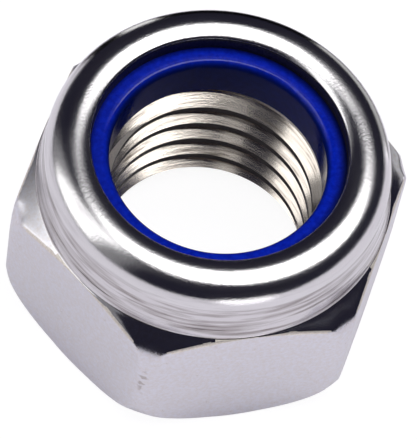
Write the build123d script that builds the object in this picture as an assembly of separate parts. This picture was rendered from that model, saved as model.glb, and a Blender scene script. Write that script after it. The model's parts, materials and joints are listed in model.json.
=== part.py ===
"""Nylon insert lock nut, M16 x 2, all metal parts in one piece with a captive nylon ring.

The steel body is a hexagon with a thin collar on top. The nylon ring drops into the pocket
inside the collar, and the collar's rim is then rolled over it to hold it for good.

Millimetres. The origin is the centre of the bearing face, +Z runs up the thread axis
towards the insert, and two of the hexagon's corners lie on the X axis.
"""
from build123d import *
import math
import os

# Thread
thread_diameter = 16.0
thread_pitch = 2.0
lead_in_diameter = 17.1       # mouth of the countersink in the bearing face
lead_out_diameter = 16.1      # mouth of the countersink in the pocket floor
lead_angle = 45.0             # countersinks, from the thread axis

# Hexagon
across_flats = 24.0
across_corners = 27.3         # over the rounded corners
bearing_diameter = 23.6
land_bottom = 3.1             # the corners round off below this height
lean_height = 2.54            # and lean inwards over this height, up to the shoulder
shoulder_diameter = 26.6      # where the leaning corners meet the top chamfer
top_chamfer_angle = 30.0      # from the plane of the bearing face

# Collar and its rolled rim
nut_height = 15.8
collar_height = 4.85
collar_top_diameter = 23.1
collar_draft = 0.35           # the collar's foot stands this far outside its top
collar_wall = 1.35            # at the collar's top, where the rim begins to roll in
rim_bend = 1.9                # outside radius of the rolled rim
rim_reach = 3.0               # from the collar's outside in to the rim's end face
rim_edge_radius = 0.35

# Pocket and nylon ring
rim_rise = 1.4                # the rim's crown above the ring's top face
pocket_fold = 0.3             # bevel where the pocket's wall turns in under the rim
insert_height = 3.6
insert_bore_diameter = 14.5
insert_edge_radius = 0.6      # upper edge of the bore
insert_bevel = 0.4            # lower edge of the bore
insert_clearance = 0.03       # between the ring's outside and the pocket's wall

# Diameters that follow the collar: its foot, the pocket inside it, and the rim's bore
collar_foot_diameter = collar_top_diameter + 2 * collar_draft
pocket_diameter = collar_top_diameter - 2 * collar_wall
rim_bore_diameter = collar_top_diameter - 2 * rim_reach

# The collar's foot, the ring's top face under the rim, and the pocket's floor under the ring
collar_foot = nut_height - collar_height
insert_top = nut_height - rim_rise
pocket_floor = insert_top - insert_height

# An internal thread's crests stand this share of the pitch inside its nominal diameter
CREST_DEPTH = 1.0825


def minor_radius():
    """Radius over the thread's crests."""
    return (thread_diameter - CREST_DEPTH * thread_pitch) / 2


def cone_depth(mouth_diameter):
    """Depth of a countersink that opens from the thread's crests to this mouth."""
    return (mouth_diameter / 2 - minor_radius()) / math.tan(math.radians(lead_angle))


def shoulder_height():
    """Height where the top chamfer, falling outwards from the collar's foot, meets the corners."""
    run = (shoulder_diameter - collar_foot_diameter) / 2
    return collar_foot - run * math.tan(math.radians(top_chamfer_angle))


def rim_section():
    """The rolled rim in section: one round bend over the crown, then a small round at its end.

    The collar's square top became the rim's upright end face when it was rolled in. The small
    round is tangent to that face and to the bend.
    """
    centre = Vector(collar_top_diameter / 2 - rim_bend, nut_height - rim_bend)
    across = rim_reach - rim_bend - rim_edge_radius
    inset = rim_bend - rim_edge_radius
    lean = math.degrees(math.asin(across / inset))
    end = Vector(centre.X - across, centre.Y + math.sqrt(inset**2 - across**2))
    bend = CenterArc(centre, rim_bend, 0, 90 + lean)
    edge = CenterArc(end, rim_edge_radius, 90 + lean, 90 - lean)
    return bend, edge


def body_section():
    """Half section of the turned body, with the collar already rolled over."""
    land = across_corners / 2
    land_top = shoulder_height() - lean_height
    bearing = (bearing_diameter / 2, 0)
    shoulder = (shoulder_diameter / 2, shoulder_height())
    bend, edge = rim_section()
    pocket = pocket_diameter / 2
    outside = [
        TangentArc((land, land_bottom), bearing, tangent=(0, -1)),
        Line((land, land_bottom), (land, land_top)),
        TangentArc((land, land_top), shoulder, tangent=(0, 1)),
        Polyline(shoulder, (collar_foot_diameter / 2, collar_foot), bend @ 0),
    ]
    inside = Polyline(
        edge @ 1,
        (rim_bore_diameter / 2, insert_top),
        (pocket - pocket_fold, insert_top),
        (pocket, insert_top - pocket_fold),
        (pocket, pocket_floor),
        (lead_out_diameter / 2, pocket_floor),
        (minor_radius(), pocket_floor - cone_depth(lead_out_diameter)),
        (minor_radius(), cone_depth(lead_in_diameter)),
        (lead_in_diameter / 2, 0),
        bearing,
    )
    return make_face(Plane.XZ * Curve([*outside, bend, edge, inside]))


def nut_body():
    """The revolved section, cut to a hexagon. The flats cut its rounds into the corner arcs."""
    turned = revolve(body_section(), Axis.Z)
    flats = extrude(RegularPolygon(across_flats / 2, 6, major_radius=False), nut_height)
    return turned & flats


def nylon_insert():
    """The ring that the screw bites into, bevelled outside to lie in the fold under the rim."""
    outer = pocket_diameter / 2 - insert_clearance
    inner = insert_bore_diameter / 2
    top_round = TangentArc(
        (inner, insert_top - insert_edge_radius),
        (inner + insert_edge_radius, insert_top),
        tangent=(0, 1),
    )
    sides = Polyline(
        top_round @ 1,
        (outer - pocket_fold, insert_top),
        (outer, insert_top - pocket_fold),
        (outer, pocket_floor),
        (inner + insert_bevel, pocket_floor),
        (inner, pocket_floor + insert_bevel),
        top_round @ 0,
    )
    return revolve(make_face(Plane.XZ * Curve([top_round, sides])), Axis.Z)


os.makedirs("parts", exist_ok=True)
export_step(nut_body(), "parts/nut_body.step")
export_step(nylon_insert(), "parts/nylon_insert.step")
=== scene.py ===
# %% [markdown]
# # A nylon insert lock nut
#
# The real nut has two pieces. The body is forged from one lump of steel: a hexagon for the
# spanner, and a thin collar on top of it. A blue nylon ring is dropped into the collar, and
# the collar's rim is then rolled inwards over the ring, so it can never come out.
#
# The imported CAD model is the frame. It says where everything is, in metres, with the
# bearing face on the floor and the thread's axis on +Z.

import bisect
import bmesh
import bpy
import json
import math
from mathutils import Matrix, Quaternion, Vector

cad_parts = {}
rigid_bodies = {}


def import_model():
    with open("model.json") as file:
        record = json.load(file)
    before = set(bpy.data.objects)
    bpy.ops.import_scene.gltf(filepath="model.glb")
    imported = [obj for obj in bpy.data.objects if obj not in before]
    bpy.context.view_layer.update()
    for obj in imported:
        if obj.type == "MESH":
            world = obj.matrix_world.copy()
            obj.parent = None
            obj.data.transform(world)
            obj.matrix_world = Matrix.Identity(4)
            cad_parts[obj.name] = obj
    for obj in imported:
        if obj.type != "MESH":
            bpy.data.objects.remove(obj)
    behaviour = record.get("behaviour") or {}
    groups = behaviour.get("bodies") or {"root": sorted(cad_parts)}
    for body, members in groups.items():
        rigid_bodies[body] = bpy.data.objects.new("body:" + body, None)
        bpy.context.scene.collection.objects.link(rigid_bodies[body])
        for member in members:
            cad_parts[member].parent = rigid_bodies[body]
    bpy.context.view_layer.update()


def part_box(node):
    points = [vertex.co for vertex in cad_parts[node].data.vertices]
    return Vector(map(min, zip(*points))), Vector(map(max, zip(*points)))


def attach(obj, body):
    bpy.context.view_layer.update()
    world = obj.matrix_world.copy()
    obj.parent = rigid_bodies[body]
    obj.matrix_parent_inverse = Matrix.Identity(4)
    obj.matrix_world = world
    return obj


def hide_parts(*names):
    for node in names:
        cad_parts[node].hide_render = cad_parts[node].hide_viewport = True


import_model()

# %% Read the two solids' boxes
MM = 0.001                           # a millimetre, in Blender's metres

body_low, body_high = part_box("nut_body")
ring_low, ring_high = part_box("nylon_insert")
print("nut, across corners, across flats and height in mm:",
      [round((high - low) / MM, 2) for low, high in zip(body_low, body_high)])

# %% [markdown]
# ## Sizes
#
# The outside sizes are read from the frame, so the pieces made here fit it. The others are
# written once, in millimetres, as a maker would put them on a drawing.

# %% Sizes of the hexagon
LAND = body_high[0] / MM             # radius over the rounded corners
FLAT = body_high[1] / MM             # from the axis to a flat
TOP = body_high[2] / MM              # crown of the rolled rim

BEARING = 11.8                       # edge of the bearing face
LAND_BOTTOM = 3.1                    # the corners round off below this height
LEAN_HEIGHT = 2.54                   # and lean inwards over this height
SHOULDER = 13.3                      # radius where the lean meets the top chamfer
FOOT = 11.9                          # radius where the chamfer meets the collar
FOOT_HEIGHT = TOP - 4.85
CHAMFER = math.radians(30)
print("corner's land, shoulder and collar's foot in mm:", round(LAND, 2), SHOULDER, FOOT)

# %% Sizes of the collar, the ring and the thread
COLLAR_TOP = 11.55                   # radius where the rim begins to roll in
ROLL = 1.9                           # outside radius of the rolled rim
RIM_BORE = 8.55                      # radius of the rim's end face
RIM_EDGE = 0.35                      # small round at the rim's end
POCKET = 10.2                        # radius of the pocket that holds the ring
FOLD = 0.3                           # bevel where the pocket turns in under the rim

RING_TOP = ring_high[2] / MM
RING_FLOOR = ring_low[2] / MM
RING_OUTSIDE = ring_high[0] / MM
RING_BORE = 7.25
RING_EDGE = 0.6                      # round at the bore's upper edge
RING_BEVEL = 0.4                     # and bevel at its lower edge

PITCH = 2.0
THREAD_ROOT = 8.0                    # radius at the bottom of the groove
THREAD_CREST = 6.9175                # and over the crests between two grooves
MOUTH_BELOW = 8.55                   # countersink in the bearing face
MOUTH_ABOVE = 8.05                   # countersink in the pocket's floor

CORNERS = 6
CORNER_ANGLE = 2 * math.pi / CORNERS
COLUMNS = 288                        # steps round the nut, 1.25 degrees each
STEP = 2 * math.pi / COLUMNS
WELD = 0.0005 * MM                   # points closer than this are one point
SMOOTH_BELOW = math.radians(27)      # edges that turn less than this are shaded smooth
print("ring's height in mm:", round(RING_TOP - RING_FLOOR, 2))

# %% [markdown]
# ## Drawing a section by hand
#
# A turned piece starts as its half section, a line drawn beside the axis. In Blender that
# line is one vertex, extruded again and again. The vertex comes from a plane whose four
# corners are merged into one. Everything is deselected first, because the frame's pieces
# arrive selected and an operator works on all that is selected.

# %% A pencil: one vertex, extruded along a path
def new_piece(name):
    """A new empty mesh object, open in edit mode, to draw in."""
    bpy.ops.object.select_all(action="DESELECT")
    bpy.ops.mesh.primitive_plane_add(size=MM)
    piece = bpy.context.object
    piece.name = piece.data.name = name
    bpy.ops.object.mode_set(mode="EDIT")
    bpy.ops.mesh.select_mode(type="VERT")
    bpy.ops.mesh.select_all(action="SELECT")
    bpy.ops.mesh.delete(type="VERT")
    return piece


def draw(path):
    """Draw a line through the points of a path, given in metres."""
    bpy.ops.mesh.select_all(action="DESELECT")
    bpy.ops.mesh.primitive_plane_add(size=MM)
    bpy.ops.mesh.merge(type="CENTER")
    bpy.ops.transform.translate(value=path[0])
    for start, end in zip(path, path[1:]):
        bpy.ops.mesh.extrude_vertices_move(TRANSFORM_OT_translate={"value": end - start})


# %% Points for the pencil to follow
def section_point(radius, height, azimuth=0.0):
    """A point of a section, from millimetres, turned to its place round the axis."""
    return Vector((radius * math.cos(azimuth), radius * math.sin(azimuth), height)) * MM


def bend(start, corner, end, steps=4):
    """Points of a soft bend from start to end that leaves out the corner between them."""
    points = []
    for i in range(steps + 1):
        t = i / steps
        points.append(start * (1 - t) ** 2 + corner * (2 * t * (1 - t)) + end * t ** 2)
    return points


def arc(centre, radius, first, last, steps):
    """Points of an arc in a section, from the first angle to the last, in degrees."""
    points = []
    for i in range(steps + 1):
        angle = math.radians(first + (last - first) * i / steps)
        points.append(Vector(centre) + radius * Vector((math.cos(angle), math.sin(angle))))
    return points


# %% Choosing vertices by where they are
def select_where(piece, test):
    """Select the vertices of the piece in edit mode whose place, in mm, passes the test."""
    bpy.ops.mesh.select_all(action="DESELECT")
    mesh = bmesh.from_edit_mesh(piece.data)
    for vertex in mesh.verts:
        if test(vertex.co / MM):
            vertex.select_set(True)
    mesh.select_flush(True)
    bmesh.update_edit_mesh(piece.data)


# %% [markdown]
# ## The hexagon's outside
#
# A real hexagon nut is forged with flats and then its corners are rounded off, above and
# below, as if turned. Where a flat cuts those rounds it leaves the curved lines that every
# nut has. A Boolean cut would make them too, but leave slivers that can't be softened.
#
# Here the outside is built from ribs, as a boat is planked. Each rib is the nut's section at
# one azimuth, and neighbouring ribs are bridged. Half of one corner is enough: it is
# mirrored, and the whole corner is then copied five times.

# %% How far the outside reaches at each azimuth
CORNER_ROUND = 1.2                   # radius of the upright edges
CORNER = CORNER_ANGLE / 2            # from the middle of a flat to a corner


def reach(azimuth):
    """Distance from the axis to the outside, at an azimuth measured from a flat's middle."""
    beside = FLAT - CORNER_ROUND
    centre = Vector((beside, beside * math.tan(CORNER)))
    if azimuth < math.atan2(centre.y, FLAT):
        return FLAT / math.cos(azimuth)
    ray = Vector((math.cos(azimuth), math.sin(azimuth)))
    along = ray.dot(centre)
    return min(LAND, along + math.sqrt(along ** 2 - centre.length_squared + CORNER_ROUND ** 2))


print("reach at a flat and at a corner in mm:", round(reach(0), 2), round(reach(CORNER), 2))

# %% The two arcs of a corner
# Both are tangent to the upright corner, so one radius follows from each end point.
lower_drop = LAND - BEARING
LOWER_ROUND = (lower_drop ** 2 + LAND_BOTTOM ** 2) / (2 * lower_drop)
upper_drop = LAND - SHOULDER
UPPER_ROUND = (upper_drop ** 2 + LEAN_HEIGHT ** 2) / (2 * upper_drop)
SHOULDER_HEIGHT = FOOT_HEIGHT - (SHOULDER - FOOT) * math.tan(CHAMFER)
LAND_TOP = SHOULDER_HEIGHT - LEAN_HEIGHT
print("arc radii in mm, below and above:", round(LOWER_ROUND, 3), round(UPPER_ROUND, 3))


def upper_height(radius):
    """Height of the leaning corner, or of the chamfer inside the shoulder, at this radius."""
    if radius < SHOULDER:
        return FOOT_HEIGHT - (radius - FOOT) * math.tan(CHAMFER)
    inset = radius - (LAND - UPPER_ROUND)
    return LAND_TOP + math.sqrt(max(UPPER_ROUND ** 2 - inset ** 2, 0))


# %% The section of one rib, still sharp
FOOT_RING = 11.97                    # the chamfer ends here, in a small fillet
ARC_STEPS = 24


def sharp_section(limit):
    """The outside before its edges are softened, and how far along it each edge lies, in mm."""
    axis = LAND - LOWER_ROUND
    start = math.degrees(math.acos((BEARING - axis) / LOWER_ROUND))
    stop = math.degrees(math.acos((limit - axis) / LOWER_ROUND))
    below = arc((axis, LAND_BOTTOM), LOWER_ROUND, -start, -stop, ARC_STEPS)
    above = [Vector((limit, upper_height(limit)))]
    if limit > SHOULDER:
        for i in range(1, ARC_STEPS + 1):
            radius = limit + (SHOULDER - limit) * i / ARC_STEPS
            above.append(Vector((radius, upper_height(radius))))
    points = below + above + [Vector((FOOT_RING, upper_height(FOOT_RING)))]
    lengths = [0.0]
    for a, b in zip(points, points[1:]):
        lengths.append(lengths[-1] + (b - a).length)
    low, high, shoulder = (lengths[i] for i in (len(below) - 1, len(below), len(points) - 2))
    return points, lengths, (low, high, shoulder, lengths[-1])


print("points of a corner's sharp section:", len(sharp_section(LAND)[0]))

# %% [markdown]
# ## Soft edges
#
# Forging and tumbling leave no edge on a nut truly sharp: each one is rounded by a few
# tenths of a millimetre and catches a thin line of light. The Bevel modifier would round the
# edges too, but it makes a mess where a flat's edge fades out into the corner arcs.
#
# So each rib is softened while it is still a line. Every point is replaced by the mean of
# the section a little to both sides of it. On a straight run or a wide arc nothing changes,
# and an edge becomes a small round. All ribs have the same number of points, because only
# then do the strips between them keep to four-sided faces.

# %% Spacing the points along a rib
EDGE = 0.3                           # how far an edge's softening reaches to each side, in mm
SHOULDER_GAIN = 0.3                  # the shoulder is softer where the corner leans in further
LONGEST_GAIN = 1.5
NEAREST_END = 0.8                    # an edge near the section's end gets a smaller round
LOWER_ROWS = 10
EDGE_ROWS = 4
FLAT_ROWS = 6
LEAN_ROWS = 6
SHOULDER_ROWS = 6
CHAMFER_ROWS = 3


def point_at(points, lengths, place):
    """The point of the section this far along it."""
    i = min(max(bisect.bisect_left(lengths, place), 1), len(points) - 1)
    share = (place - lengths[i - 1]) / (lengths[i] - lengths[i - 1])
    return points[i - 1].lerp(points[i], share)


def rows(start, end, count):
    """Evenly spaced places after start, the last one at the end."""
    return [start + (end - start) * i / count for i in range(1, count + 1)]


# %% One softened rib
BLUR_STEPS = 8                       # to each side


def rib(azimuth):
    """The softened section: each point is the mean of the sharp section a little to both sides."""
    points, lengths, (low, high, shoulder, end) = sharp_section(reach(azimuth))
    soft_low = min(EDGE, low * NEAREST_END)
    soft_high = min(EDGE, (end - shoulder) * NEAREST_END)
    soft_shoulder = soft_high + SHOULDER_GAIN * min(shoulder - high, LONGEST_GAIN)
    middle = (high + shoulder) / 2

    places = [0.0]
    places += rows(0.0, low - soft_low, LOWER_ROWS)
    places += rows(low - soft_low, low + soft_low, EDGE_ROWS)
    places += rows(low + soft_low, high - soft_high, FLAT_ROWS)
    places += rows(high - soft_high, min(high + soft_high, middle), EDGE_ROWS)
    # where nothing leans, these rows fall on one point and weld together
    places += rows(places[-1], max(shoulder - soft_shoulder, middle), LEAN_ROWS)
    places += rows(places[-1], shoulder + soft_shoulder, SHOULDER_ROWS)
    places += rows(places[-1], end, CHAMFER_ROWS)

    path = []
    for place in places:
        soft = soft_low
        if place > (low + high) / 2:
            soft = soft_high
        if place > middle:
            soft = soft_shoulder
        soft = max(min(soft, place, end - place), 0.0)
        near = [point_at(points, lengths, place + soft * k / BLUR_STEPS)
                for k in range(-BLUR_STEPS, BLUR_STEPS + 1)]
        path.append(sum(near, Vector((0, 0))) / len(near))
    return path


print("points of a rib:", len(rib(0.0)))

# %% [markdown]
# ## Planking the ribs
#
# Bridge Edge Loops lays a strip of faces between two lines of vertices. It acts on all that
# is selected, so exactly two neighbouring ribs are selected each time, by their azimuth.

# %% Draw the ribs and plank them
RIBS = round(CORNER / STEP) + 1
NEARER = STEP / 4                    # a rib's points stand this near to its azimuth
body = new_piece("body_of_zinc_plated_steel")
for i in range(RIBS):
    from_flat = i * STEP
    azimuth = CORNER - from_flat
    draw([section_point(p.x, p.y, azimuth) for p in rib(from_flat)])


def azimuth_of(place):
    """The azimuth of a point, from +X."""
    return math.atan2(place.y, place.x)


for i in range(RIBS - 1):
    first, second = i * STEP, (i + 1) * STEP
    select_where(body, lambda p: first - NEARER < azimuth_of(p) < second + NEARER)
    bpy.ops.mesh.bridge_edge_loops()
print("ribs in half a corner:", RIBS)

# %% Mirror the half corner, then copy the corner round the nut
bpy.ops.mesh.select_all(action="SELECT")
bpy.ops.mesh.duplicate()
bpy.ops.transform.resize(value=(1, -1, 1), center_override=(0, 0, 0))
bpy.ops.mesh.select_all(action="SELECT")
for _ in range(CORNERS - 1):
    bpy.ops.mesh.duplicate()
    bpy.ops.transform.rotate(value=CORNER_ANGLE, orient_axis="Z", center_override=(0, 0, 0))
print("faces of the hexagon's outside:", len(bmesh.from_edit_mesh(body.data).faces))

# %% [markdown]
# ## The collar, the rolled rim and the bore
#
# These are true turned shapes, so the rest of the section is drawn once and spun about the
# axis. The rim is one round bend, from the upright collar over its crown, with a small round
# at its end. The spin has as many steps as there are ribs, so both parts meet vertex to
# vertex and weld into one closed skin.

# %% The turned section
FILLET = 0.12                        # the collar's foot runs into the chamfer over this far
ROLL_STEPS = 32
RIM_EDGE_STEPS = 8


def wall_at(height):
    """Radius of the collar's slightly tapered wall."""
    share = (height - FOOT_HEIGHT) / (TOP - ROLL - FOOT_HEIGHT)
    return FOOT + (COLLAR_TOP - FOOT) * share


def turned_section():
    """From the chamfer's inner ring, over the rim and down the bore, to the bearing face."""
    ring = Vector((FOOT_RING, upper_height(FOOT_RING)))
    foot_top = FOOT_HEIGHT + FILLET
    path = bend(ring, Vector((FOOT, FOOT_HEIGHT)), Vector((wall_at(foot_top), foot_top)))

    centre = (COLLAR_TOP - ROLL, TOP - ROLL)
    across = centre[0] - RIM_BORE - RIM_EDGE
    inset = ROLL - RIM_EDGE
    lean = math.degrees(math.asin(across / inset))
    end = (centre[0] - across, centre[1] + math.sqrt(inset ** 2 - across ** 2))
    path += arc(centre, ROLL, 0, 90 + lean, ROLL_STEPS)
    path += arc(end, RIM_EDGE, 90 + lean, 180, RIM_EDGE_STEPS)[1:]

    path += [
        Vector((RIM_BORE, RING_TOP)),
        Vector((POCKET - FOLD, RING_TOP)),
        Vector((POCKET, RING_TOP - FOLD)),
        Vector((POCKET, RING_FLOOR)),
        Vector((MOUTH_ABOVE, RING_FLOOR)),
        Vector((THREAD_CREST, RING_FLOOR - (MOUTH_ABOVE - THREAD_CREST))),
        Vector((THREAD_CREST, MOUTH_BELOW - THREAD_CREST)),
        Vector((MOUTH_BELOW, 0)),
        Vector((BEARING, 0)),
    ]
    return path


print("points of the turned section:", len(turned_section()))

# %% Spin it, and weld it to the hexagon
draw([section_point(p.x, p.y) for p in turned_section()])
bpy.ops.mesh.select_linked()
bpy.ops.mesh.spin(steps=COLUMNS, angle=2 * math.pi, center=(0, 0, 0), axis=(0, 0, 1))
bpy.ops.mesh.select_all(action="SELECT")
bpy.ops.mesh.remove_doubles(threshold=WELD)
bpy.ops.mesh.normals_make_consistent(inside=False)
bpy.ops.object.mode_set(mode="OBJECT")


def closed_skin(piece):
    """How many edges don't have two faces, none on a closed skin, and the volume in mm3."""
    mesh = bmesh.new()
    mesh.from_mesh(piece.data)
    count = sum(len(edge.link_faces) != 2 for edge in mesh.edges)
    volume = mesh.calc_volume(signed=True) / MM ** 3
    mesh.free()
    return count, round(volume, 1)


print("body before tapping: faces", len(body.data.polygons),
      "open edges and mm3", closed_skin(body))

# %% [markdown]
# ## Tapping the thread
#
# A tap cuts the thread: a tooth of the groove's shape is wound down the bore, forwards by
# one pitch a turn. The Screw modifier winds a drawn tooth the same way, and a Boolean takes
# it out of the body. So the thread runs out at both countersinks just as a tapped one does.

# %% The tap's tooth
TOOTH_TIP = PITCH / 8                # width of the groove's flat bottom
TOOTH_BASE_RADIUS = 6.6              # inside the bore, so that the cut is clean
FLANK = math.radians(30)
GROOVE_HEIGHT = 1.769                # height of the groove's middle on the +X side
START_BELOW = 2                      # turns wound below the bearing face, to run clean through
tooth_base = TOOTH_TIP + 2 * (THREAD_ROOT - TOOTH_BASE_RADIUS) * math.tan(FLANK)

tap = new_piece("tap")
start = GROOVE_HEIGHT - START_BELOW * PITCH
tooth = [
    (TOOTH_BASE_RADIUS, start - tooth_base / 2),
    (THREAD_ROOT, start - TOOTH_TIP / 2),
    (THREAD_ROOT, start + TOOTH_TIP / 2),
    (TOOTH_BASE_RADIUS, start + tooth_base / 2),
]
draw([section_point(*p) for p in tooth])
bpy.ops.mesh.select_all(action="SELECT")
bpy.ops.mesh.edge_face_add()
bpy.ops.mesh.delete(type="ONLY_FACE")
bpy.ops.object.mode_set(mode="OBJECT")
print("tooth's base and tip in mm:", round(tooth_base, 3), TOOTH_TIP)

# %% Wind it, and close its two ends
TURNS = 9
TAP_STEPS = 144                      # a turn
screw = tap.modifiers.new("wind", "SCREW")
screw.axis = "Z"
screw.angle = 2 * math.pi
screw.screw_offset = PITCH * MM
screw.iterations = TURNS
screw.steps = screw.render_steps = TAP_STEPS
bpy.ops.object.modifier_apply(modifier=screw.name)
bpy.ops.object.mode_set(mode="EDIT")
bpy.ops.mesh.select_all(action="SELECT")
bpy.ops.mesh.remove_doubles(threshold=WELD)
bpy.ops.mesh.fill_holes(sides=len(tooth))
bpy.ops.mesh.normals_make_consistent(inside=False)
bpy.ops.object.mode_set(mode="OBJECT")
print("tap: open edges and mm3", closed_skin(tap))

# %% Cut
SWARF = 0.001 * MM                   # shorter edges that the cut leaves are merged
bpy.ops.object.select_all(action="DESELECT")
bpy.context.view_layer.objects.active = body
body.select_set(True)
cut = body.modifiers.new("tap", "BOOLEAN")
cut.operation = "DIFFERENCE"
cut.solver = "EXACT"
cut.object = tap
bpy.ops.object.modifier_apply(modifier=cut.name)
bpy.data.objects.remove(tap)
bpy.ops.object.mode_set(mode="EDIT")
select_where(body, lambda p: math.hypot(p.x, p.y) <= MOUTH_BELOW and p.z <= RING_FLOOR)
bpy.ops.mesh.remove_doubles(threshold=SWARF)
bpy.ops.object.mode_set(mode="OBJECT")
print("body after tapping: faces", len(body.data.polygons),
      "open edges and mm3", closed_skin(body))

# %% [markdown]
# ## Shading the body
#
# The rolled and softened parts must look smooth, and the thread's edges must stay sharp.
# Smooth shading by angle does both, because only edges that turn more than the angle stay
# sharp. The countersinks meet the thread's flanks at less than that, so every edge in the
# bore is marked sharp by itself. Otherwise the flanks beside them would shine wrongly.

# %% Smooth by angle, but keep every edge of the thread sharp
THREAD_EDGE = math.radians(8)        # the thread's own facets turn less than this
ROOM = 0.05                          # in mm, for places that are only nearly the same
bpy.ops.object.shade_smooth_by_angle(angle=SMOOTH_BELOW)
bpy.ops.object.mode_set(mode="EDIT")
bpy.ops.mesh.select_mode(type="EDGE")
bpy.ops.mesh.select_all(action="DESELECT")
mesh = bmesh.from_edit_mesh(body.data)
for edge in mesh.edges:
    middle = (edge.verts[0].co + edge.verts[1].co) / 2 / MM
    from_axis = math.hypot(middle.x, middle.y)
    in_bore = from_axis < MOUTH_BELOW + ROOM and middle.z < RING_FLOOR + ROOM
    if in_bore and edge.calc_face_angle(0) > THREAD_EDGE:
        edge.select_set(True)
print("sharp edges in the bore:", sum(edge.select for edge in mesh.edges))
bmesh.update_edit_mesh(body.data)
bpy.ops.mesh.mark_sharp()
bpy.ops.object.mode_set(mode="OBJECT")

# %% [markdown]
# ## The nylon ring
#
# The ring is a plain moulded band. Its upper inner edge is well rounded, and that round
# carries the one thin highlight that shows where the nylon starts. It is drawn and spun as
# the collar was, as one closed section.

# %% The ring
RING_EDGE_STEPS = 10


def ring_section():
    """The ring's whole section, closed back to its start."""
    centre = (RING_BORE + RING_EDGE, RING_TOP - RING_EDGE)
    path = arc(centre, RING_EDGE, 180, 90, RING_EDGE_STEPS)
    path += [
        Vector((RING_OUTSIDE - FOLD, RING_TOP)),
        Vector((RING_OUTSIDE, RING_TOP - FOLD)),
        Vector((RING_OUTSIDE, RING_FLOOR)),
        Vector((RING_BORE + RING_BEVEL, RING_FLOOR)),
        Vector((RING_BORE, RING_FLOOR + RING_BEVEL)),
    ]
    path.append(path[0].copy())
    return path


ring = new_piece("ring_of_blue_nylon")
draw([section_point(p.x, p.y) for p in ring_section()])
bpy.ops.mesh.select_all(action="SELECT")
bpy.ops.mesh.spin(steps=COLUMNS, angle=2 * math.pi, center=(0, 0, 0), axis=(0, 0, 1))
bpy.ops.mesh.select_all(action="SELECT")
bpy.ops.mesh.remove_doubles(threshold=WELD)
bpy.ops.mesh.normals_make_consistent(inside=False)
bpy.ops.object.mode_set(mode="OBJECT")
bpy.ops.object.shade_smooth_by_angle(angle=SMOOTH_BELOW)
print("ring: faces", len(ring.data.polygons), "open edges and mm3", closed_skin(ring))

# %% [markdown]
# ## Finishes
#
# All the steel is zinc plated, but each face was made another way and it shows. A roller
# burnished the collar and its rim, the die left the flats matt, a turning tool left rings on
# the bearing face, and hardly any zinc reached the thread's crests, which also carry painted
# shade. One material could not show that, so each way of making has a material of its own.
#
# A material here is a tree of nodes. Its patterns read Object coordinates, the place on the
# nut itself, so they stay on the steel wherever the camera goes.

# %% Colours and nodes
def linear(hex_colour):
    """An sRGB hex colour as Blender's linear RGBA."""
    channels = [int(hex_colour[i:i + 2], 16) / 255 for i in (1, 3, 5)]
    return [c / 12.92 if c <= 0.04045 else ((c + 0.055) / 1.055) ** 2.4 for c in channels] + [1]


def node(tree, kind, settings=None, inputs=None):
    """Add a node with its settings, and set or link its inputs."""
    made = tree.nodes.new(kind)
    for name, value in (settings or {}).items():
        setattr(made, name, value)
    for name, value in (inputs or {}).items():
        if isinstance(value, bpy.types.NodeSocket):
            tree.links.new(value, made.inputs[name])
        else:
            made.inputs[name].default_value = value
    return made


# %% An empty material, and what most of them start with
def new_material(name):
    """An empty node material with its output."""
    material = bpy.data.materials.new(name)
    material.use_nodes = True
    tree = material.node_tree
    tree.nodes.clear()
    return material, tree, tree.nodes.new("ShaderNodeOutputMaterial")


def place_on_nut(tree):
    """The point on the nut, in mm."""
    coordinates = node(tree, "ShaderNodeTexCoord")
    in_mm = node(tree, "ShaderNodeVectorMath", {"operation": "SCALE"},
                 {0: coordinates.outputs["Object"], "Scale": 1 / MM})
    return in_mm.outputs[0]


def laid_flat(tree, point):
    """The same point without its height, so its length is the distance from the axis."""
    flat = node(tree, "ShaderNodeVectorMath", {"operation": "MULTIPLY"}, {0: point, 1: (1, 1, 0)})
    return flat.outputs[0]


def colour_stops(ramp_node, tones):
    """Give a colour ramp its tones, as pairs of position and hex colour."""
    ramp = ramp_node.color_ramp
    for position, _ in tones[1:-1]:
        ramp.elements.new(position)
    for element, (position, colour) in zip(ramp.elements, tones):
        element.position, element.color = position, linear(colour)


# %% [markdown]
# ## Rolled, burnished, turned and tapped steel
#
# A roller, a turning tool and a tap all leave fine rings round the axis. A noise that changes
# slowly round the nut and fast across it looks the same: its place is the direction from the
# axis, scaled a little, plus the distance from the axis and the height, scaled a lot. Height
# is the noise's fourth dimension, so rings on an upright wall and on a flat face both work.
#
# The same noise sets the tone, the roughness and a very shallow bump, because on the real
# steel one groove does all three. True marks are some hundredths of a millimetre apart. Here
# they are about 0.3 mm, which is as fine as a view of the whole nut can show. The plating's
# grain lies over the rings, and is also drawn coarser than it is.

# %% Steel with rings
GROOVE_DEPTH = 0.005                 # of the rings, in mm
GRAIN_PER_MM = 7.5                   # of the plating
FINE_NOISE = {"Detail": 3.0, "Roughness": 0.6}


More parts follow.
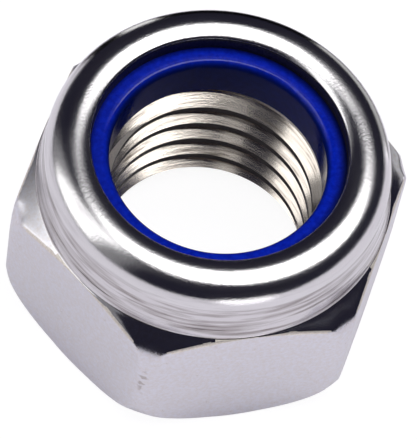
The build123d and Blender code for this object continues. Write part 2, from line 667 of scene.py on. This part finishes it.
def ringed_steel(name, tones, smooth, coarse, turns, per_mm, grain_depth=0.004):
    """Zinc plated steel with fine marks that run round the axis."""
    material, tree, output = new_material(name)
    point = place_on_nut(tree)
    flat = laid_flat(tree, point)
    radius = node(tree, "ShaderNodeVectorMath", {"operation": "LENGTH"}, {0: flat})
    around = node(tree, "ShaderNodeVectorMath", {"operation": "NORMALIZE"}, {0: flat})
    height = node(tree, "ShaderNodeSeparateXYZ", inputs={0: point})
    along = node(tree, "ShaderNodeVectorMath", {"operation": "SCALE"},
                 {0: around.outputs[0], "Scale": turns})
    across = node(tree, "ShaderNodeMath", {"operation": "MULTIPLY"},
                  {0: radius.outputs["Value"], 1: per_mm})
    upward = node(tree, "ShaderNodeMath", {"operation": "MULTIPLY"},
                  {0: height.outputs["Z"], 1: per_mm})
    lift = node(tree, "ShaderNodeCombineXYZ", inputs={"Z": across.outputs[0]})
    place = node(tree, "ShaderNodeVectorMath", {"operation": "ADD"},
                 {0: along.outputs[0], 1: lift.outputs[0]})
    marks = node(tree, "ShaderNodeTexNoise", {"noise_dimensions": "4D"}, {
        "Vector": place.outputs[0], "W": upward.outputs[0], "Scale": 1.0, **FINE_NOISE})

    tone = node(tree, "ShaderNodeValToRGB", inputs={"Fac": marks.outputs["Fac"]})
    colour_stops(tone, tones)
    rough = node(tree, "ShaderNodeMapRange", inputs={
        "Value": marks.outputs["Fac"],
        "From Min": 0.35, "From Max": 0.7, "To Min": coarse, "To Max": smooth})
    grooves = node(tree, "ShaderNodeBump", inputs={
        "Strength": 1.0, "Distance": GROOVE_DEPTH * MM, "Height": marks.outputs["Fac"]})
    grain = node(tree, "ShaderNodeTexNoise", inputs={
        "Vector": point, "Scale": GRAIN_PER_MM, **FINE_NOISE})
    skin = node(tree, "ShaderNodeBump", inputs={
        "Strength": 1.0, "Distance": grain_depth * MM,
        "Height": grain.outputs["Fac"], "Normal": grooves.outputs[0]})
    shader = node(tree, "ShaderNodeBsdfPrincipled", inputs={
        "Base Color": tone.outputs[0],
        "Metallic": 1.0,
        "Roughness": rough.outputs[0],
        "Normal": skin.outputs[0],
    })
    tree.links.new(shader.outputs["BSDF"], output.inputs["Surface"])
    return material


# %% Four finishes with rings
# the collar's wall: a roller left bright bands and dull streaks
rolled = ringed_steel(
    "zinc_plated_steel_rolled", [(0.3, "#6E686C"), (0.38, "#A6A09F"), (0.56, "#D6D3D5")],
    smooth=0.12, coarse=0.28, turns=2.2, per_mm=3.0)
# the rim: pressed hard, so nearly a mirror, with a fine speckle in its reflections
burnished = ringed_steel(
    "zinc_plated_steel_burnished", [(0.3, "#C4C1C3"), (0.5, "#DCDADB")],
    smooth=0.12, coarse=0.2, turns=2.2, per_mm=2.0, grain_depth=0.009)
# the bearing face: even rings from a turning tool
turned = ringed_steel(
    "zinc_plated_steel_turned", [(0.32, "#A39D9E"), (0.5, "#D6D4D6")],
    smooth=0.12, coarse=0.22, turns=1.6, per_mm=3.0)
# the thread: bright, with the warm tone of thin plating and a trace of oil
tapped = ringed_steel(
    "zinc_plated_steel_tapped", [(0.3, "#8C8279"), (0.42, "#CFC6BC"), (0.6, "#E6DED3")],
    smooth=0.12, coarse=0.18, turns=2.0, per_mm=3.5, grain_depth=0.002)
print("each ringed steel has", len(rolled.node_tree.nodes), "nodes")

# %% [markdown]
# ## Forged steel
#
# The die leaves the flats matt and very finely mottled, with no direction to it. The chamfer
# was turned before plating, so where it is unworn it is nearly a mirror. Barrelling with
# other nuts has scuffed it on one side. One material does both, because flats and chamfer
# run into each other over the soft edges: the slope of the surface blends one into the
# other, and the direction from the axis tells the scuffed side from the bright one.
#
# One corner also carries a small brown nick, where the plating was knocked off.

# %% Steel as the die left it
MOTTLES_PER_MM = 3.6
MOTTLE_BUMP = 0.0018                 # in mm
FLAT_ROUGH = (0.26, 0.4)
CHAMFER_ROUGH = (0.09, 0.34)         # unworn, and scuffed
SCUFFED_TOWARDS = (-0.22, 0.975, 0)  # from the axis towards the scuffed side

forged, tree, output = new_material("zinc_plated_steel_forged")
point = place_on_nut(tree)
flat = laid_flat(tree, point)
patches = node(tree, "ShaderNodeTexNoise", inputs={
    "Vector": point, "Scale": MOTTLES_PER_MM, "Detail": 5.0, "Roughness": 0.7})
tone = node(tree, "ShaderNodeValToRGB", inputs={"Fac": patches.outputs["Fac"]})
colour_stops(tone, [(0.35, "#D3CECE"), (0.65, "#DCDCE4")])
matt = node(tree, "ShaderNodeMapRange", inputs={
    "Value": patches.outputs["Fac"],
    "From Min": 0.3, "From Max": 0.7, "To Min": FLAT_ROUGH[0], "To Max": FLAT_ROUGH[1]})

# %% The chamfer, bright on one side and scuffed on the other
around = node(tree, "ShaderNodeVectorMath", {"operation": "NORMALIZE"}, {0: flat})
worn_side = node(tree, "ShaderNodeVectorMath", {"operation": "DOT_PRODUCT"},
                 {0: around.outputs[0], 1: SCUFFED_TOWARDS})
scuffed = node(tree, "ShaderNodeMapRange", inputs={
    "Value": worn_side.outputs["Value"],
    "From Min": -0.35, "From Max": 0.1, "To Min": CHAMFER_ROUGH[0], "To Max": CHAMFER_ROUGH[1]})
facing = node(tree, "ShaderNodeTexCoord")
slope = node(tree, "ShaderNodeSeparateXYZ", inputs={0: facing.outputs["Normal"]})
rough = node(tree, "ShaderNodeMapRange", inputs={
    "Value": slope.outputs["Z"],
    "From Min": 0.45, "From Max": 0.85, "To Min": matt.outputs[0], "To Max": scuffed.outputs[0]})

# %% The nick on one corner
NICK_MIDDLE = (-6.8, -11.78, 6.5)    # on an upright edge, in mm
NICK_REACH = (0.4, 0.4, 1.9)
BITS_PER_MM = 2.2
MOST_BARE = 0.5                      # even there, much of the plating is left
away = node(tree, "ShaderNodeVectorMath", {"operation": "SUBTRACT"}, {0: point, 1: NICK_MIDDLE})
scaled = node(tree, "ShaderNodeVectorMath", {"operation": "DIVIDE"},
              {0: away.outputs[0], 1: NICK_REACH})
distance = node(tree, "ShaderNodeVectorMath", {"operation": "LENGTH"}, {0: scaled.outputs[0]})
near = node(tree, "ShaderNodeMapRange", inputs={
    "Value": distance.outputs["Value"],
    "From Min": 0.5, "From Max": 1.0, "To Min": MOST_BARE, "To Max": 0.0})
bits = node(tree, "ShaderNodeTexNoise", inputs={
    "Vector": point, "Scale": BITS_PER_MM, "Detail": 2.0, "Roughness": 0.6})
torn = node(tree, "ShaderNodeMapRange", inputs={
    "Value": bits.outputs["Fac"], "From Min": 0.48, "From Max": 0.58})
bare = node(tree, "ShaderNodeMath", {"operation": "MULTIPLY"},
            {0: near.outputs[0], 1: torn.outputs[0]})
steel = node(tree, "ShaderNodeMix", {"data_type": "RGBA"}, {
    "Factor": bare.outputs[0], "A": tone.outputs[0], "B": linear("#8A7A6C")})

# %% Join the forged steel's parts in its shader
skin = node(tree, "ShaderNodeBump", inputs={
    "Strength": 1.0, "Distance": MOTTLE_BUMP * MM, "Height": patches.outputs["Fac"]})
shader = node(tree, "ShaderNodeBsdfPrincipled", inputs={
    "Base Color": steel.outputs["Result"],
    "Metallic": 1.0,
    "Roughness": rough.outputs[0],
    "Normal": skin.outputs[0],
})
tree.links.new(shader.outputs["BSDF"], output.inputs["Surface"])
print("forged steel has", len(tree.nodes), "nodes")

# %% [markdown]
# ## Worn and bare steel, with painted shade
#
# Plating is thrown by electricity at what stands out, and hardly reaches into a bore. So the
# thread's crests, which the punch sheared, stay dull, as does the collar's sheared end under
# the rim, and both are painted nearly black as painted shade: the crests deep in the bore, the
# end face in the crease over the ring. Worn edges are the opposite: rubbed pale and quite matt.
#
# These are narrow strips, so a grain of two near tones and a dull shine is enough.

# %% Steel with an even grain
def grained_steel(name, dark, light, roughness):
    """Dull steel with a fine grain and no direction to it."""
    material, tree, output = new_material(name)
    grain = node(tree, "ShaderNodeTexNoise", inputs={
        "Vector": place_on_nut(tree), "Scale": GRAIN_PER_MM, **FINE_NOISE})
    tone = node(tree, "ShaderNodeValToRGB", inputs={"Fac": grain.outputs["Fac"]})
    colour_stops(tone, [(0.35, dark), (0.65, light)])
    shader = node(tree, "ShaderNodeBsdfPrincipled", inputs={
        "Base Color": tone.outputs[0],
        "Metallic": 1.0,
        "Roughness": roughness,
    })
    tree.links.new(shader.outputs["BSDF"], output.inputs["Surface"])
    return material


# the thread's crests: dull steel, painted nearly black as painted shade in the bore
punched_and_shaded = grained_steel("thinly_plated_steel_punched_and_shaded", "#2A2625", "#3A3634", 0.42)
# the rim's end face: dull sheared steel, painted dark as painted shade in the crease over the ring
sheared_and_shaded = grained_steel("thinly_plated_steel_sheared_and_shaded", "#403D3D", "#545151", 0.5)
rubbed = grained_steel("zinc_plated_steel_rubbed", "#D8D1C9", "#ECE5DD", 0.55)
print("each grained steel has", len(rubbed.node_tree.nodes), "nodes")

# %% [markdown]
# ## Giving each face its finish
#
# Each polygon has a material index. Where a face is, and which way it looks, is enough to
# know how it was made, so the index is set in a loop over all faces.

# %% Which finish a face has
FINISHES = {
    "forged": forged,
    "rolled": rolled,
    "burnished": burnished,
    "turned": turned,
    "tapped": tapped,
    "punched_and_shaded": punched_and_shaded,
    "sheared_and_shaded": sheared_and_shaded,
    "rubbed": rubbed,
}
UPRIGHT = 0.1                        # most that an upright face looks up or down
CONE_LOOK = (0.6, 0.8)               # how far a countersink looks up or down
LAST_CREST = 2.8                     # the tap rubs the lowest crest bright
EDGE_LOOK = (0.3, 0.72)              # how far the worn edge of a flat looks up
EDGE_RADIUS = SHOULDER - 0.2         # and how far from the axis it can be
SHEARED_TO = RIM_BORE + RIM_EDGE / 10    # the rim's end face, and the start of its round
WORN_FROM, WORN_TO = -11, 3          # spanners wear the chamfer's thin end, degrees from mid flat


def finish_in_bore(from_axis, z, look):
    """The finish of a face below the ring, in the bore."""
    if abs(look) < UPRIGHT and from_axis < THREAD_CREST + ROOM:
        return "punched_and_shaded" if z > LAST_CREST else "rubbed"
    return "rubbed" if CONE_LOOK[0] < abs(look) < CONE_LOOK[1] else "tapped"


def finish_of(face):
    """The finish of a face, by where it is and how far it looks up."""
    x, y, z = face.center / MM
    from_axis = math.hypot(x, y)
    look = face.normal.z
    if from_axis < MOUTH_ABOVE and z < RING_FLOOR:
        return finish_in_bore(from_axis, z, look)
    if z < WELD / MM:
        return "turned"
    if from_axis < SHEARED_TO and z > RING_TOP:
        return "sheared_and_shaded"
    if from_axis < FOOT_RING and z > RING_FLOOR:
        return "burnished" if z > TOP - ROLL else "rolled"
    if EDGE_LOOK[0] < look < EDGE_LOOK[1] and from_axis < EDGE_RADIUS:
        return "rubbed"
    from_mid_flat = math.degrees(math.atan2(y, x) % CORNER_ANGLE - CORNER)
    if look > EDGE_LOOK[0] and WORN_FROM < from_mid_flat < WORN_TO:
        return "rubbed"
    return "forged"


# %% Set them
body.data.materials.clear()
for finish in FINISHES.values():
    body.data.materials.append(finish)
order = list(FINISHES)
for face in body.data.polygons:
    face.material_index = order.index(finish_of(face))
finish_of_face = [order[face.material_index] for face in body.data.polygons]
print("faces of each finish:", {name: finish_of_face.count(name) for name in order})

# %% [markdown]
# ## Moulded nylon
#
# The ring is dyed right through and comes smooth from its mould. Nylon is a plastic, so it
# has a plain colour and a faint clear shine. Painted shade darkens the blue where the rim
# overhangs it, a little more on one side than on the other, as the rim's shadow would fall.
# The wall of the bore is painted nearly black, also as painted shade. Handling has polished the
# upper inner edge, which shows as one thin light line, while the flat top stays dull. A clear coat
# makes the polish, because its weight can differ from place to place.

# %% Nylon
RIM_SHADE_SHIFT = (0.14, -0.055, 0)       # the ring of painted shade isn't quite round the axis, as a shadow isn't, in mm
UNSHADED_TO, FULL_SHADE_FROM = 8.1, 8.6      # radius where the painted shade begins, and where it is full
MOST_RIM_SHADE = 0.9
FULL_WALL_SHADE_TO, NO_WALL_SHADE_FROM = 7.3, 7.55        # radius where the wall's full painted shade ends, and where none is left
MOST_WALL_SHADE = 0.8
POLISH_IN = (7.45, 7.6)              # the polished edge begins between these radii
POLISH_OUT = (7.6, 7.65)             # and ends between these
POLISHED, DULL = 1.0, 0.0            # weight of the clear coat
DYE_PER_MM = 2.5
MOULD_DEPTH = 0.002                  # of the skin that the mould's etched wall leaves, in mm

nylon, tree, output = new_material("moulded_blue_nylon")
point = place_on_nut(tree)
flat = laid_flat(tree, point)
dye = node(tree, "ShaderNodeTexNoise", inputs={
    "Vector": point, "Scale": DYE_PER_MM, **FINE_NOISE})
tone = node(tree, "ShaderNodeValToRGB", inputs={"Fac": dye.outputs["Fac"]})
colour_stops(tone, [(0.35, "#071C98"), (0.65, "#0B26B4")])

# %% Painted shade under the rim, and on the bore's wall
# painted shade: the blue is mixed to near black towards the rim, round a middle set off to one
# side
shifted = node(tree, "ShaderNodeVectorMath", {"operation": "ADD"}, {0: flat, 1: RIM_SHADE_SHIFT})
from_middle = node(tree, "ShaderNodeVectorMath", {"operation": "LENGTH"}, {0: shifted.outputs[0]})
rim_shade = node(tree, "ShaderNodeMapRange", inputs={
    "Value": from_middle.outputs["Value"],
    "From Min": UNSHADED_TO, "From Max": FULL_SHADE_FROM, "To Min": 0.0, "To Max": MOST_RIM_SHADE})
blue = node(tree, "ShaderNodeMix", {"data_type": "RGBA"}, {
    "Factor": rim_shade.outputs[0], "A": tone.outputs[0], "B": linear("#03081C")})
from_axis = node(tree, "ShaderNodeVectorMath", {"operation": "LENGTH"}, {0: flat})
# painted shade: the wall of the bore is mixed to near black
wall_shade = node(tree, "ShaderNodeMapRange", inputs={
    "Value": from_axis.outputs["Value"],
    "From Min": FULL_WALL_SHADE_TO, "From Max": NO_WALL_SHADE_FROM, "To Min": MOST_WALL_SHADE, "To Max": 0.0})
wall_shaded_blue = node(tree, "ShaderNodeMix", {"data_type": "RGBA"}, {
    "Factor": wall_shade.outputs[0], "A": blue.outputs["Result"], "B": linear("#04123A")})

# %% The nylon's shine
past_edge = node(tree, "ShaderNodeMapRange", inputs={
    "Value": from_axis.outputs["Value"],
    "From Min": POLISH_OUT[0], "From Max": POLISH_OUT[1], "To Min": POLISHED, "To Max": DULL})
gloss = node(tree, "ShaderNodeMapRange", inputs={
    "Value": from_axis.outputs["Value"],
    "From Min": POLISH_IN[0], "From Max": POLISH_IN[1],
    "To Min": DULL, "To Max": past_edge.outputs[0]})
mould = node(tree, "ShaderNodeTexNoise", inputs={
    "Vector": point, "Scale": GRAIN_PER_MM, **FINE_NOISE})
skin = node(tree, "ShaderNodeBump", inputs={
    "Strength": 1.0, "Distance": MOULD_DEPTH * MM, "Height": mould.outputs["Fac"]})
shader = node(tree, "ShaderNodeBsdfPrincipled", inputs={
    "Base Color": wall_shaded_blue.outputs["Result"],
    "Roughness": 0.1,
    "IOR": 1.53,
    "Specular IOR Level": 0.06,
    "Coat Weight": gloss.outputs[0],
    "Coat Roughness": 0.1,
    "Normal": skin.outputs[0],
})
tree.links.new(shader.outputs["BSDF"], output.inputs["Surface"])
ring.data.materials.clear()
ring.data.materials.append(nylon)
print("nylon has", len(tree.nodes), "nodes")

# %% [markdown]
# ## Handing the pieces to the frame
#
# The nut has no joint, so both pieces ride on the frame's one body, root. Each stands for
# the CAD solid of the same piece, which the frame then hides.

# %% Hand the pieces to the frame
for piece, cad_node, finish in ((body, "nut_body", "steel"), (ring, "nylon_insert", "nylon")):
    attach(piece, "root")
    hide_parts(cad_node)
    print(piece.name, "stands for", cad_node, "in the slot", finish)

# %% [markdown]
# ## Camera
#
# The nut is seen from well above and a little to one side, from about nine times its own
# width away, so it is hardly distorted. The camera is placed on a ball round the nut by two
# angles, turned to look at the target, and then rolled a little about its own line of sight.

# %% Camera
TARGET = Vector((0, 0, 6)) * MM
DISTANCE = 240 * MM
azimuth, elevation, roll = (math.radians(a) for a in (-21.36, 58.578, 11.275))
LENS, SENSOR = 289.0, 36             # a long lens, in mm, on a sensor this wide
FRAME_HEIGHT = 439                   # pixels of the frame's longer side, for the shift
SHIFT = (2.27, 0.9)                  # in pixels, to place the nut in the frame

back = Vector((math.sin(azimuth) * math.cos(elevation),
               -math.cos(azimuth) * math.cos(elevation),
               math.sin(elevation)))
camera_data = bpy.data.cameras.new("camera")
camera = bpy.data.objects.new("camera", camera_data)
bpy.context.scene.collection.objects.link(camera)
camera.rotation_mode = "QUATERNION"
camera.location = TARGET + back * DISTANCE
camera.rotation_quaternion = (-back).to_track_quat("-Z", "Y") @ Quaternion((0, 0, 1), roll)
camera_data.lens = LENS
camera_data.sensor_width = SENSOR
camera_data.shift_x, camera_data.shift_y = (shift / FRAME_HEIGHT for shift in SHIFT)
camera_data.clip_start = 10 * MM
camera_data.clip_end = 10
bpy.context.scene.camera = camera
print("camera in mm:", [round(x / MM, 1) for x in camera.location])

# %% [markdown]
# ## Floor
#
# The nut stands on white paper with a slightly cold tint. Lit only as brightly as the nut,
# paper would look grey, and more light would burn the nut out. So part of the floor's look
# is a plain white glow that only the camera and mirroring metal see. Light Path tells such
# rays from those that light the nut, so the glow adds no light, and the nut's shadow stays
# in the part that is left.

# %% Floor
SEEN_GLOW = 0.85                     # share of the floor's look that is plain white to the camera
MIRRORED_GLOW = 0.3                  # and in the steel's reflections
DARK_UNDER, LIGHT_FROM = 10, 14      # the paper under the nut doesn't glow in them, in mm
PAPER_SIZE = 4                       # in metres, so that its end is far out of sight
GLOW = 1.1                           # how bright that white is

bpy.ops.object.select_all(action="DESELECT")
bpy.ops.mesh.primitive_plane_add(size=PAPER_SIZE)
floor = bpy.context.object
floor.name = "floor"
white_paper, tree, output = new_material("matt_white_paper")
paper = node(tree, "ShaderNodeBsdfDiffuse", inputs={"Color": linear("#F2EEFA")})
glow = node(tree, "ShaderNodeEmission", inputs={"Color": linear("#FFFFFF"), "Strength": GLOW})
path = node(tree, "ShaderNodeLightPath")
seen = node(tree, "ShaderNodeMath", {"operation": "MULTIPLY"},
            {0: path.outputs["Is Camera Ray"], 1: SEEN_GLOW})
spot = node(tree, "ShaderNodeTexCoord")
from_nut = node(tree, "ShaderNodeVectorMath", {"operation": "LENGTH"}, {0: spot.outputs["Object"]})
beside = node(tree, "ShaderNodeMapRange", inputs={
    "Value": from_nut.outputs["Value"],
    "From Min": DARK_UNDER * MM, "From Max": LIGHT_FROM * MM, "To Max": MIRRORED_GLOW})
mirrored = node(tree, "ShaderNodeMath", {"operation": "MULTIPLY"},
                {0: path.outputs["Is Glossy Ray"], 1: beside.outputs[0]})
share = node(tree, "ShaderNodeMath", {"operation": "ADD"},
             {0: seen.outputs[0], 1: mirrored.outputs[0]})
mix = node(tree, "ShaderNodeMixShader",
           inputs={0: share.outputs[0], 1: paper.outputs[0], 2: glow.outputs[0]})
tree.links.new(mix.outputs[0], output.inputs["Surface"])
floor.data.materials.append(white_paper)
print("paper has", len(tree.nodes), "nodes")

# %% [markdown]
# ## Light
#
# Polished steel has hardly any colour of its own: it shows the room. The bright bands on the
# rim are softboxes, the dark bands are the unlit room between them, and the pale lower half
# is the paper. So the lamps are placed by asking, for each bright or dark place on the nut,
# which direction it mirrors.
#
# The room itself is a dim blue-grey. An area lamp's power is spread over its size, so the
# helper below takes the brightness that its surface shall have, and works out the power.

# %% The unlit room
world = bpy.data.worlds.new("studio")
bpy.context.scene.world = world
world.use_nodes = True
background = world.node_tree.nodes["Background"]
background.inputs["Color"].default_value = linear("#23222F")
background.inputs["Strength"].default_value = 1.0

# %% Directions as the camera sees them
RIGHT = Vector((math.cos(azimuth), math.sin(azimuth), 0))
AWAY = Vector((-math.sin(azimuth), math.cos(azimuth), 0))
UP = Vector((0, 0, 1))
print("right and away:", [round(x, 3) for x in (*RIGHT, *AWAY)])


# %% A softbox
def softbox(name, place, facing, wide, tall, brightness, turn=0.0, shape="RECTANGLE"):
    """An area lamp at a place in mm, right, away and up as the camera sees it."""
    lamp = bpy.data.lights.new(name, "AREA")
    lamp.shape = shape
    lamp.size, lamp.size_y = wide * MM, tall * MM
    area = lamp.size * lamp.size_y * (math.pi / 4 if shape == "ELLIPSE" else 1)
    lamp.energy = brightness * math.pi * area
    holder = bpy.data.objects.new(name, lamp)
    right, away, up = place
    holder.location = (RIGHT * right + AWAY * away + UP * up) * MM
    top = AWAY if abs(facing.z) > 0.9 else UP
    back_axis = -facing.normalized()
    side = top.cross(back_axis).normalized()
    straight = Matrix((side, back_axis.cross(side), back_axis)).transposed().to_quaternion()
    holder.rotation_mode = "QUATERNION"
    holder.rotation_quaternion = straight @ Quaternion((0, 0, 1), math.radians(turn))
    holder.visible_camera = False
    bpy.context.scene.collection.objects.link(holder)
    print(name, "has", round(lamp.energy, 4), "W")


# %% Large softboxes
# the main light, oval and nearly overhead, with a dim fringe on its far side
softbox("overhead_softbox", (132, 46, 400), -UP, 600, 404, 2.6, 16.5, "ELLIPSE")
softbox("overhead_spill", (175, 165, 400), -UP, 400, 400, 0.35, 16.5, "ELLIPSE")
# a tall one on the left, with a dim fringe on both sides
softbox("left_softbox", (-397, -93, 443), RIGHT, 310, 816, 1.35)
softbox("left_spill", (-399, -167, 443), RIGHT, 690, 816, 0.25)

# %% Small white cards
# they stand close to the nut and each brightens one place: the streak on the collar's front,
# the corner on the right, the foot of the collar behind, and the thread's flanks
softbox("low_card", (26, -53, 10), AWAY - RIGHT * 0.5, 27, 20, 1.0)
softbox("right_card", (18.5, 23.6, 10.5), -RIGHT * 0.616 - AWAY * 0.788, 22, 9, 0.55)
softbox("back_card", (-13.6, 26.7, 10.5), RIGHT * 0.454 - AWAY * 0.891, 5, 9, 1.0)
softbox("front_card", (-0.5, -23.5, 57.5), AWAY * 0.5 - UP * 0.86, 11, 9, 0.45)

# %% [markdown]
# ## A dark fence
#
# Behind the nut, the rim mirrors the paper right up to the horizon, and its outline would
# fade into the white. Photographers stand a strip of black card just outside the picture for
# that: the rim mirrors it as a thin dark line. Only reflections see the card here.

# %% Fence
FENCE_RADIUS = 34                    # in mm, just outside the picture
FENCE_HEIGHT = 16
FENCE_SPREAD = math.radians(50)      # how far it reaches round to each side
FENCE_MIDDLE = (AWAY + RIGHT * 0.07).normalized()    # behind the nut, a little to the right
FENCE_STEPS = 96                     # all the way round
bpy.ops.object.select_all(action="DESELECT")
bpy.ops.mesh.primitive_cylinder_add(
    vertices=FENCE_STEPS, radius=FENCE_RADIUS * MM, depth=FENCE_HEIGHT * MM,
    end_fill_type="NOTHING", location=(0, 0, FENCE_HEIGHT / 2 * MM))
fence = bpy.context.object
fence.name = "black_card_fence"
bpy.ops.object.mode_set(mode="EDIT")
select_where(fence, lambda p: p.xy.normalized().dot(FENCE_MIDDLE.xy) < math.cos(FENCE_SPREAD))
bpy.ops.mesh.delete(type="VERT")
bpy.ops.object.mode_set(mode="OBJECT")
black_card, tree, output = new_material("matt_black_card")
shader = node(tree, "ShaderNodeBsdfDiffuse", inputs={"Color": linear("#101014")})
tree.links.new(shader.outputs["BSDF"], output.inputs["Surface"])
fence.data.materials.append(black_card)
fence.visible_camera = fence.visible_diffuse = fence.visible_shadow = False
print("faces left of the fence:", len(fence.data.polygons))

# %% [markdown]
# ## Last
#
# The Standard view transform shows colours as they were written.

# %% Finish
bpy.context.scene.view_settings.view_transform = "Standard"
